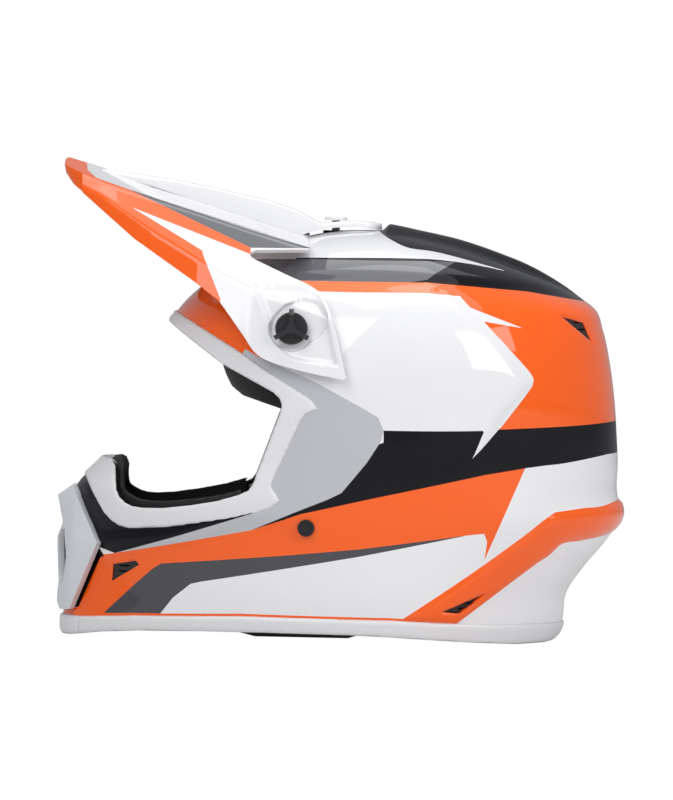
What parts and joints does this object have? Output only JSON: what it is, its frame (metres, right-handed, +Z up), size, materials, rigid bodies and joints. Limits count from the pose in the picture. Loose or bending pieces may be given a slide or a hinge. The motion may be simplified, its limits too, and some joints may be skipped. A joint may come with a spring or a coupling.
{
  "type": "motocross helmet",
  "caption": "Full-face off-road helmet with an open goggle port, long chin bar, adjustable peak, padded liner and double-ring chin strap.",
  "frame": {"origin": "on the ground, under the middle of the helmet's length and width", "axes": "+Z up, the wearer faces -X, the helmet's left side is at -Y"},
  "size_m": [0.355, 0.2588, 0.2993],
  "materials": {
    "shell_gloss": "painted gloss",
    "trim_rubber": "satin",
    "trim_plastic": "satin",
    "mouthpiece_plastic": "satin",
    "vent_plastic": "matt",
    "steel_black": "blackened",
    "foam": "bead foam",
    "guard_rubber": "matt",
    "pad_fabric": "knitted",
    "snap_plastic": "satin",
    "visor_plastic": "painted gloss",
    "insert_plastic": "satin",
    "knob_plastic": "satin",
    "rivet_metal": "blackened",
    "webbing": "woven",
    "ring_metal": "bright"
  },
  "bodies": {
    "helmet": {"outer_shell": "shell_gloss", "eyeport_trim": "trim_rubber", "neck_trim": "trim_rubber", "chin_cap": "trim_plastic", "mouthpiece": "mouthpiece_plastic", "mouth_grille": "vent_plastic", "mouthpiece_screws": "steel_black", "chin_vent_louvre_left": "vent_plastic", "chin_vent_louvre_right": "vent_plastic", "rear_vent_mesh_left": "vent_plastic", "rear_vent_mesh_right": "vent_plastic", "neck_vent_mesh_left": "vent_plastic", "neck_vent_mesh_right": "vent_plastic", "brow_vent_mesh": "vent_plastic", "impact_liner": "foam", "chin_liner": "foam", "breath_guard": "guard_rubber", "cheek_core_left": "foam", "cheek_core_right": "foam", "cheek_pad_left": "pad_fabric", "cheek_pad_right": "pad_fabric", "cheek_snaps": "snap_plastic", "comfort_liner": "pad_fabric", "liner_snaps": "snap_plastic", "neck_roll": "pad_fabric", "visor_insert_left": "insert_plastic", "visor_insert_right": "insert_plastic", "visor_insert_top": "insert_plastic", "strap_anchor_left": "rivet_metal", "strap_anchor_right": "rivet_metal", "chin_strap_left": "webbing", "chin_strap_right": "webbing", "keeper_snap": "snap_plastic"},
    "visor": {"visor": "visor_plastic"},
    "visor_screw_left": {"visor_screw_left": "knob_plastic"},
    "visor_screw_right": {"visor_screw_right": "knob_plastic"},
    "visor_screw_top": {"visor_screw_top": "knob_plastic"},
    "d_ring_lower": {"d_ring_lower": "ring_metal"},
    "d_ring_upper": {"d_ring_upper": "ring_metal"}
  },
  "joints": [
    {"name": "visor_tilt", "type": "hinge", "parent": "helmet", "child": "visor", "pos_m": [0.006, 0, 0.151], "axis": [0, -1, 0], "range_deg": [0, 10]},
    {"name": "left_screw_turn", "type": "hinge", "parent": "helmet", "child": "visor_screw_left", "pos_m": [-0.0315, -0.113, 0.1955], "axis": [0, -1, 0], "continuous": true},
    {"name": "right_screw_turn", "type": "hinge", "parent": "helmet", "child": "visor_screw_right", "pos_m": [-0.0315, 0.113, 0.1955], "axis": [0, 1, 0], "continuous": true},
    {"name": "top_screw_turn", "type": "hinge", "parent": "helmet", "child": "visor_screw_top", "pos_m": [-0.005, 0, 0.262], "axis": [0, 0, 1], "continuous": true},
    {"name": "lower_ring_swing", "type": "hinge", "parent": "helmet", "child": "d_ring_lower", "pos_m": [-0.021, -0.018, 0.016], "axis": [1, 0, 0], "range_deg": [-2, 2]},
    {"name": "upper_ring_swing", "type": "hinge", "parent": "helmet", "child": "d_ring_upper", "pos_m": [-0.021, -0.026, 0.0228], "axis": [1, 0, 0], "range_deg": [-2, 2]}
  ]
}
